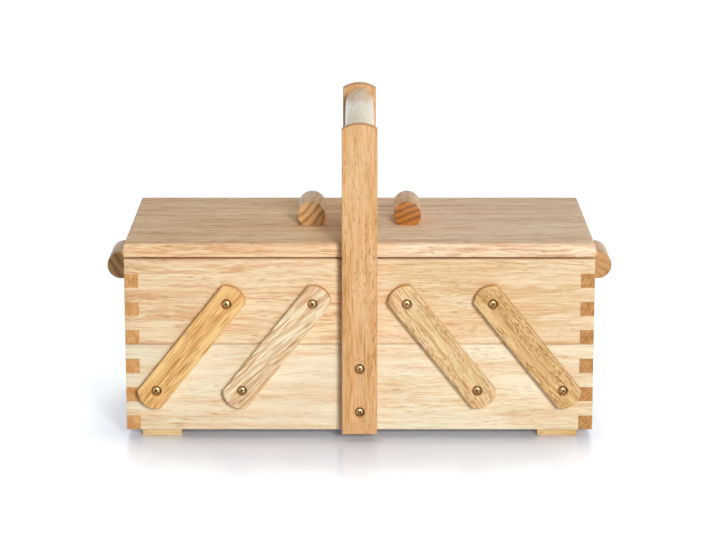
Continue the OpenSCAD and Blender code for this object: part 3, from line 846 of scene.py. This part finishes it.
class CARRIER_OT_lids(Operator):
    """Finish the two lids"""

    bl_idname = "carrier.lids"
    bl_label = "Lids"

    # What the rounded block takes off each side, so that no face of it lies in one of the lid's
    shaving = 0.02 * MM

    def execute(self, context):
        s = context.scene.carrier_sizes
        for side in SIDES:
            node = f"{side}_lid"
            low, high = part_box(node)
            rim = [(0, low.x), (0, high.x), (1, low.y), (1, high.y)]

            def under_edge(edge):
                return on_planes(edge, [(2, low.z)]) and on_planes(edge, rim)

            piece = finish_board(node, f"{side}_lid_board", (under_edge, s.lid_under_edge, 2))
            block = start(bpy.ops.mesh.primitive_cube_add, "rounded_block", size=1.0)
            span = high - low
            width, depth = span.x - 2 * self.shaving, span.y - 2 * self.shaving
            bpy.ops.transform.resize(value=(width, depth, 2 * span.z))
            soften(block, lambda e: on_planes(e, [(2, span.z)]), s.lid_upper_edge, 8)
            leave(block)
            base = low.z - self.shaving / 2
            settle(block, Matrix.Translation(((low.x + high.x) / 2, 0, base)))
            cut(piece, [block], "INTERSECT")
            leave(piece)
            dress(piece, f"{side}_lid_rubberwood", node)
        return {"FINISHED"}


class CARRIER_OT_swing_arms(Operator):
    """Model one swing arm with its bores and set out the eight copies"""

    bl_idname = "carrier.swing_arms"
    bl_label = "Swing arms"

    def execute(self, context):
        s = context.scene.carrier_sizes
        half = s.arm_length / 2
        arm = start(
            bpy.ops.mesh.primitive_circle_add, "swing_arm",
            vertices=128, radius=s.arm_end_radius, fill_type="NGON",
        )
        for across in (-1, 1):
            slice_off((0, across * s.arm_width / 2, 0), (0, across, 0))
        for way in (-1, 1):
            pick(arm, "verts", lambda v: v.co.x * way > WELD and abs(v.co.x) < half)
            bpy.ops.transform.translate(value=(way * half, 0, 0))
        finish_bar(s, arm, s.arm_thickness, s.pivot_hole, [(-half, 0), (half, 0)])
        lean = math.asin(pivot_rise() / s.arm_length)
        for side in SIDES:
            for which in ("inner", "outer"):
                for end in ENDS:
                    node = f"{side}_{which}_arm_{end}"
                    rises_right = (side == "left") == (end == "front")
                    turn = Matrix.Rotation(lean if rises_right else math.pi - lean, 4, "Z")
                    place = Matrix.Translation(middle(node)) @ stand_at(end) @ turn
                    material = f"{side}_{which}_arm_rubberwood"
                    set_down(arm, f"{node}_bar", place, material, node)
        bpy.data.objects.remove(arm)
        return {"FINISHED"}


class CARRIER_OT_uprights(Operator):
    """Model one upright with its crown and bores and set out the two copies"""

    bl_idname = "carrier.uprights"
    bl_label = "Uprights"

    def execute(self, context):
        s = context.scene.carrier_sizes
        low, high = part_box("upright_front")
        tall = high.z - low.z
        half, thick = s.upright_width / 2, s.upright_thickness
        crown = tall / 2 - s.crown_radius
        upright = start(
            bpy.ops.mesh.primitive_circle_add, "upright",
            vertices=256, radius=s.crown_radius, fill_type="NGON",
        )
        bpy.ops.transform.translate(value=(0, crown, 0))
        for across in (-1, 1):
            slice_off((across * half, 0, 0), (across, 0, 0))
        slice_off((0, crown, 0), (0, -1, 0))
        pick(upright, "verts", lambda v: near(v.co.y, crown))
        bpy.ops.transform.translate(value=(0, -crown - tall / 2, 0))
        heights = (s.lower_upright_screw, s.upper_upright_screw, middle("grip").z)
        *screws, grip = [(0, height - low.z - tall / 2) for height in heights]
        bottom = s.tenon_bore_depth - thick / 2
        tenon_bore = ("tenon_bore", s.tenon_diameter / 2 + s.fixed_play, -thick, bottom, *grip)
        finish_bar(s, upright, thick, s.shank_diameter + 2 * s.fixed_play, screws, tenon_bore)
        for end in ENDS:
            node = f"upright_{end}"
            place = Matrix.Translation(middle(node)) @ stand_at(end)
            set_down(upright, f"{node}_post", place, "upright_rubberwood", node)
        bpy.data.objects.remove(upright)
        return {"FINISHED"}


class CARRIER_OT_grip(Operator):
    """Turn the grip with a tenon at each end"""

    bl_idname = "carrier.grip"
    bl_label = "Grip"

    def execute(self, context):
        s = context.scene.carrier_sizes
        low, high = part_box("grip")
        length = high.y - low.y - 2 * s.tenon_length
        grip = start(
            bpy.ops.mesh.primitive_cylinder_add, "turned_grip",
            vertices=96, radius=s.grip_diameter / 2, depth=length,
        )
        for way in (-1, 1):
            pick(grip, "faces", upward(way))
            bpy.ops.mesh.inset(thickness=(s.grip_diameter - s.tenon_diameter) / 2)
            outward = (0, 0, way * s.tenon_length)
            bpy.ops.mesh.extrude_region_move(TRANSFORM_OT_translate={"value": outward})

        def shoulder(edge):
            return sharp(edge) and on_planes(edge, [(2, length / 2), (2, -length / 2)]) and all(
                math.hypot(*v.co.xy) > s.tenon_diameter / 2 + MM for v in edge.verts
            )

        soften(grip, shoulder, s.shoulder_edge)
        leave(grip)
        settle(grip, Matrix.Translation((low + high) / 2) @ STAND_UP)
        dress(grip, "grip_rubberwood", "grip")
        return {"FINISHED"}


class CARRIER_OT_pulls(Operator):
    """Cut one pull from a dowel and set out the four copies"""

    bl_idname = "carrier.pulls"
    bl_label = "Pulls"

    def execute(self, context):
        s = context.scene.carrier_sizes
        radius = s.pull_diameter / 2
        pull = start(
            bpy.ops.mesh.primitive_cylinder_add, "pull",
            vertices=96, radius=radius, depth=s.pull_length, rotation=(QUARTER_TURN, 0, 0),
        )
        bpy.ops.object.mode_set(mode="OBJECT")
        bpy.ops.object.transform_apply(location=True, rotation=True, scale=True)
        bpy.ops.object.mode_set(mode="EDIT")
        slice_off((0, 0, s.pull_flat - radius), (0, 0, -1), fill=True)
        bpy.ops.mesh.select_all(action="SELECT")
        bpy.ops.transform.translate(value=(0, 0, radius - s.pull_flat))
        ends = [(1, -s.pull_length / 2), (1, s.pull_length / 2)]
        soften(pull, lambda e: on_planes(e, ends) and not on_planes(e, [(2, 0.0)]), s.pull_edge, 3)
        leave(pull)
        apart = s.pull_screw_spacing / 2
        cut(pull, [
            drill("screw_bore", s.pull_screw_hole / 2, -MM, s.pull_screw_depth, 0, y)
            for y in (-apart, apart)
        ])
        leave(pull)
        for side, way, wall_face, end_wood in (
            ("left", -1, 1, "left_pull_rubberwood"), ("right", 1, 0, "right_end_pull_rubberwood")
        ):
            node = f"{side}_lid_pull"
            place = Matrix.Translation((middle(node).x, 0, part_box(node)[0].z))
            material = f"{side}_pull_rubberwood"
            set_down(pull, f"{side}_lid_dowel", place, material, node)
            node = f"{side}_end_pull"
            place = Matrix.Translation((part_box(node)[wall_face].x, 0, middle(node).z))
            place = place @ Matrix.Rotation(way * QUARTER_TURN, 4, "Y")
            set_down(pull, f"{side}_end_dowel", place, end_wood, node)
        bpy.data.objects.remove(pull)
        return {"FINISHED"}


class CARRIER_OT_domed_screws(Operator):
    """Model one domed screw with its cross recess and set out the twenty copies"""

    bl_idname = "carrier.domed_screws"
    bl_label = "Domed screws"

    # How far each screw was turned when it went home, in degrees
    turns = (12, 57, 33, 78, 5, 41, 66, 24, 49, 83, 18, 37, 71, 9, 62, 28, 53, 80, 15, 45)
    # How far each step of the dome goes in and how far it rises, in shares of radius and height
    dome = ((0.06, 0.13), (0.10, 0.17), (0.14, 0.18), (0.18, 0.15), (0.20, 0.09), (0.18, 0.03))

    # The height of the rim below the dome, as a share of the head's
    rim = 0.25
    # How much of a recess wing's length and width is left at its bottom
    taper = (0.45, 0.6, 1.0)

    def execute(self, context):
        s = context.scene.carrier_sizes
        arm_seat = self.seat(s, "left_inner_arm_front", s.side_play)
        screw = self.turn_screw(s, s.shank_bite + arm_seat)
        cut(screw, [self.wing(s, turn) for turn in (0.0, QUARTER_TURN)])
        leave(screw, 40)
        turns = iter(self.turns)
        for node in ("box_pivot_screws", "left_pivot_screws", "right_pivot_screws"):
            self.set_out(screw, node, self.pivots(s, node), arm_seat, turns)
        spots = [(0.0, height) for height in (s.lower_upright_screw, s.upper_upright_screw)]
        self.set_out(screw, "upright_screws", spots, self.seat(s, "upright_front"), turns)
        bpy.data.objects.remove(screw)
        return {"FINISHED"}

    def turn_screw(self, s, shank):
        """A screw with its domed head above zero and its shank below."""
        radius = s.head_diameter / 2
        screw = start(
            bpy.ops.mesh.primitive_cylinder_add, "domed_screw",
            vertices=48, radius=radius, depth=self.rim * s.head_height,
        )
        bpy.ops.transform.translate(value=(0, 0, self.rim * s.head_height / 2))
        pick(screw, "faces", upward())
        for inward, rise in self.dome:
            bpy.ops.mesh.inset(thickness=inward * radius)
            bpy.ops.transform.translate(value=(0, 0, rise * s.head_height))
        pick(screw, "faces", upward(-1))
        bpy.ops.mesh.inset(thickness=radius - s.shank_diameter / 2)
        bpy.ops.mesh.extrude_region_move(TRANSFORM_OT_translate={"value": (0, 0, -shank)})
        soften(screw, lambda e: sharp(e) and on_planes(e, [(2, 0.0)]), s.head_edge)
        leave(screw, 40)
        screw.data.materials.append(material_of("turned_brass"))
        return screw

    def wing(self, s, turn):
        """A cutter for one wing of the cross recess: a bar that narrows downwards."""
        wing = start(bpy.ops.mesh.primitive_cube_add, "recess_wing", size=1.0)
        bpy.ops.transform.resize(value=(s.recess_length, s.recess_width, 2 * s.recess_depth))
        pick(wing, "faces", upward(-1))
        bpy.ops.transform.resize(value=self.taper)
        leave(wing)
        settle(wing, Matrix.Translation((0, 0, s.head_height)) @ Matrix.Rotation(turn, 4, "Z"))
        # The recess faces take the dark brass: real tarnish, and painted shade in the recess
        wing.data.materials.append(material_of("tarnished_brass"))
        return wing

    def seat(self, s, node, play=0.0):
        """How far the underside of a head sunk in this node stands off the wall."""
        return -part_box(node)[0].y - HALF_DEPTH - s.counterbore_depth + play

    def pivots(self, s, node):
        """The x and z of each pivot on the front that this node's screws hold."""
        on_box = node == "box_pivot_screws"
        up = -1 if on_box else 1
        run = math.sqrt(s.arm_length**2 - pivot_rise() ** 2)
        found = []
        for side, inward in zip(SIDES, (1, -1)):
            if on_box or node.startswith(side):
                for which in ("inner", "outer"):
                    arm = middle(f"{side}_{which}_arm_front")
                    found.append((arm.x + inward * up * run / 2, arm.z + up * pivot_rise() / 2))
        return found

    def set_out(self, screw, node, spots, seat, turns):
        """Copy the screw to each spot on the front and on the rear, and join the copies."""
        copies = []
        for x, z in spots:
            for end in ENDS:
                copy = twin(screw, "screw_copy")
                turn = Matrix.Rotation(math.radians(next(turns)), 4, "Z")
                out = -HALF_DEPTH - seat if end == "front" else HALF_DEPTH + seat
                settle(copy, Matrix.Translation((x, out, z)) @ stand_at(end) @ turn)
                copies.append(copy)
        dress(join(copies, f"{node}_domed"), None, node)


class CARRIER_OT_small_screws(Operator):
    """Finish the countersunk screws of the pulls and the hinges"""

    bl_idname = "carrier.small_screws"
    bl_label = "Countersunk screws"

    def execute(self, context):
        for side in SIDES:
            for kind in ("end_pull", "lid_pull", "rim_leaf", "lid_leaf"):
                node = frame["nodes"][f"{side}_{kind}_screws"]
                node.data.materials.clear()
                node.data.materials.append(material_of("turned_brass"))
        return {"FINISHED"}


class CARRIER_OT_washers(Operator):
    """Finish the washers behind the arms and the spacers behind the uprights"""

    bl_idname = "carrier.washers"
    bl_label = "Washers and spacers"

    def execute(self, context):
        s = context.scene.carrier_sizes
        rounding = (sharp, s.metal_edge, 2)
        for where in ("box", *SIDES):
            node = f"{where}_pivot_washers"
            finish_node(node, f"{node}_rings", "moulded_nylon", "nylon", rounding)
        finish_node(
            "upright_spacers", "upright_spacer_rings", "box_rubberwood", "pale_wood", rounding
        )
        return {"FINISHED"}


class CARRIER_OT_hinges(Operator):
    """Finish the hinge leaves and pins"""

    bl_idname = "carrier.hinges"
    bl_label = "Lid hinges"

    def execute(self, context):
        s = context.scene.carrier_sizes
        for side in SIDES:
            for kind in ("rim_leaves", "lid_leaves", "hinge_pins"):
                node = f"{side}_{kind}"
                finish_node(node, f"{node}_brass", "turned_brass", "brass", (sharp, s.leaf_edge, 1))
        return {"FINISHED"}


class CARRIER_OT_felt_pads(Operator):
    """Finish the felt pads on the inner rims of the trays"""

    bl_idname = "carrier.felt_pads"
    bl_label = "Felt pads"

    def execute(self, context):
        s = context.scene.carrier_sizes
        for side in SIDES:
            node = f"{side}_lid_pads"
            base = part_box(node)[0].z

            def top_edge(edge):
                return sharp(edge) and not on_planes(edge, [(2, base)])

            rounding = (top_edge, s.pad_edge, 3)
            finish_node(node, f"{side}_felt_pads", "pressed_felt", "felt", rounding)
        return {"FINISHED"}


# The stage


class CARRIER_OT_stage(Operator):
    """Lay the floor, hang the lamps and set up the camera"""

    bl_idname = "carrier.stage"
    bl_label = "Stage"

    # The floor's side, and how far its painted shade greys it in front of a wall, in metres
    floor_side = 40
    shade_reach = 0.16
    # How far the floor's facing is leaned back where its painted shade is read
    lean_back = math.radians(60)
    # Painted light that the floor shows the camera, by how open it is; near walls it is painted shade
    painted_glows = (
        (0.20, (0.0, 0.0, 0.0)),
        (0.30, (0.07, 0.08, 0.10)),
        (0.37, (0.17, 0.20, 0.26)),
        (0.61, (0.21, 0.25, 0.32)),
        (0.72, (0.47, 0.51, 0.54)),
        (0.80, (0.53, 0.58, 0.62)),
    )

    # Each lamp's name, the way to it, its distance and side in metres, and its power in watts.
    # The key is at the front right, and the others light the top, the sides and the back.
    lamps = (
        ("key", (0.248, -0.923, 0.292), 2.6, 0.52, 45.0),
        ("top", (0.15, 0.10, 0.98), 2.4, 1.4, 13.0),
        ("left side", (-0.90, 0.35, 0.30), 2.6, 1.4, 9.0),
        ("right side", (0.90, 0.35, 0.30), 2.6, 1.4, 12.0),
    )
    # The height in metres at which the lamps are aimed
    lamp_aim = 0.12
    # The colour and strength of the surround's light on the object
    surround = (1.0, 0.86, 0.68), 0.05

    # The camera's distance from what it looks at, in metres, how far it looks down, and where
    # that point is; its focal length and its sensor's width in mm
    camera_distance = 2.408
    camera_tilt = math.radians(12.88)
    camera_aim = Vector((-1.3 * MM, 0.0, 0.1244))
    lens, sensor_width = 136.6, 36.0

    def execute(self, context):
        self.lay_floor(context)
        self.light_up(context)
        self.set_camera(context)
        context.scene.view_settings.view_transform = "Standard"
        return {"FINISHED"}

    def lay_floor(self, context):
        """A glossy white studio floor: it mirrors the front faintly, takes the lamps' shadows, and adds
        painted light for the camera, greyed as painted shade where walls hide it.

        That painted shade is read with its facing leaned back, so that it reaches further in front of the
        carrier than beside it.
        """
        floor = start(
            bpy.ops.mesh.primitive_grid_add, "floor",
            x_subdivisions=4, y_subdivisions=4, size=self.floor_side,
        )
        leave(floor)
        material, add = new_material("gloss_white_floor")
        facing = facing_of(add, (-self.lean_back, 0.0, 0.0))
        inputs = {"Base Color": colours("floor")[0], "Roughness": 0.22}
        lacquer = add("BsdfPrincipled", inputs)
        inputs = {"Distance": self.shade_reach, "Normal": facing}
        # Painted shade: the light added for the camera is dimmed where walls hide the floor
        open_share = add("AmbientOcclusion", inputs, output="AO", samples=16)
        glow = add("ValToRGB", {"Fac": open_share}, self.painted_glows)
        glow = add("Emission", {"Color": glow, "Strength": 1.0})
        lit = add("AddShader", {0: lacquer, 1: glow})
        shown = add("MixShader", {0: self.seen(add), 1: lacquer, 2: lit})
        add("OutputMaterial", {"Surface": shown})
        floor.data.materials.append(material)

    def seen(self, add):
        """One for what the camera sees directly, in a reflection or through glass."""
        path = add("LightPath").node.outputs
        share = path["Is Camera Ray"]
        for ray in ("Is Glossy Ray", "Is Transmission Ray"):
            share = add("Math", {0: share, 1: path[ray]}, operation="MAXIMUM")
        return share

    def light_up(self, context):
        """Soft lamps, and a dim even surround that is seen as white."""
        world = bpy.data.worlds.new("studio")
        context.scene.world = world
        world.use_nodes = True
        world.node_tree.nodes.clear()
        add = partial(add_node, world.node_tree)
        colour, strength = self.surround
        dim = add("Background", {"Color": colour, "Strength": strength})
        white = add("Background", {"Color": (1.0, 1.0, 1.0), "Strength": 1.0})
        shown = add("MixShader", {0: self.seen(add), 1: dim, 2: white})
        add("OutputWorld", {"Surface": shown})
        for name, way, distance, side, power in self.lamps:
            towards = Vector(way).normalized()
            bpy.ops.object.select_all(action="DESELECT")
            place = Vector((0, 0, self.lamp_aim)) + towards * distance
            bpy.ops.object.light_add(type="AREA", location=place)
            lamp = bpy.context.object
            lamp.name = name
            lamp.data.size = side
            lamp.data.energy = power
            lamp.rotation_euler = (-towards).to_track_quat("-Z", "Y").to_euler()

    def set_camera(self, context):
        """The camera stands 2.4 m off and looks down on the front at 13 degrees."""
        back = Vector((0, -math.cos(self.camera_tilt), math.sin(self.camera_tilt)))
        bpy.ops.object.select_all(action="DESELECT")
        bpy.ops.object.camera_add(location=self.camera_aim + back * self.camera_distance)
        camera = bpy.context.object
        camera.name = "camera"
        camera.data.lens = self.lens
        camera.data.sensor_width = self.sensor_width
        camera.data.clip_end = 1.5 * self.floor_side
        camera.rotation_euler = (QUARTER_TURN - self.camera_tilt, 0, 0)
        context.scene.camera = camera


PIECES = (
    CARRIER_OT_case_boards,
    CARRIER_OT_panels,
    CARRIER_OT_feet,
    CARRIER_OT_lids,
    CARRIER_OT_swing_arms,
    CARRIER_OT_uprights,
    CARRIER_OT_grip,
    CARRIER_OT_pulls,
    CARRIER_OT_domed_screws,
    CARRIER_OT_small_screws,
    CARRIER_OT_washers,
    CARRIER_OT_hinges,
    CARRIER_OT_felt_pads,
    CARRIER_OT_stage,
)


class CARRIER_PT_panel(Panel):
    """Lists the pieces in the order in which they are made"""

    bl_idname = "CARRIER_PT_panel"
    bl_label = "Sewing carrier"
    bl_space_type = "VIEW_3D"
    bl_region_type = "UI"
    bl_category = "Carrier"

    def draw(self, context):
        column = self.layout.column(align=True)
        for piece in PIECES:
            column.operator(piece.bl_idname)
        for group in (context.scene.carrier_sizes, context.scene.carrier_colours):
            box = self.layout.box()
            for name in group.bl_rna.properties.keys():
                if name not in ("rna_type", "name"):
                    box.prop(group, name)


CLASSES = (CarrierSizes, CarrierColours, *PIECES, CARRIER_PT_panel)


def register():
    for cls in CLASSES:
        bpy.utils.register_class(cls)
    bpy.types.Scene.carrier_sizes = PointerProperty(type=CarrierSizes)
    bpy.types.Scene.carrier_colours = PointerProperty(type=CarrierColours)


def unregister():
    del bpy.types.Scene.carrier_colours
    del bpy.types.Scene.carrier_sizes
    for cls in reversed(CLASSES):
        bpy.utils.unregister_class(cls)


def main():
    register()
    for piece in PIECES:
        group, action = piece.bl_idname.split(".")
        getattr(getattr(bpy.ops, group), action)()


if __name__ == "__main__":
    main()
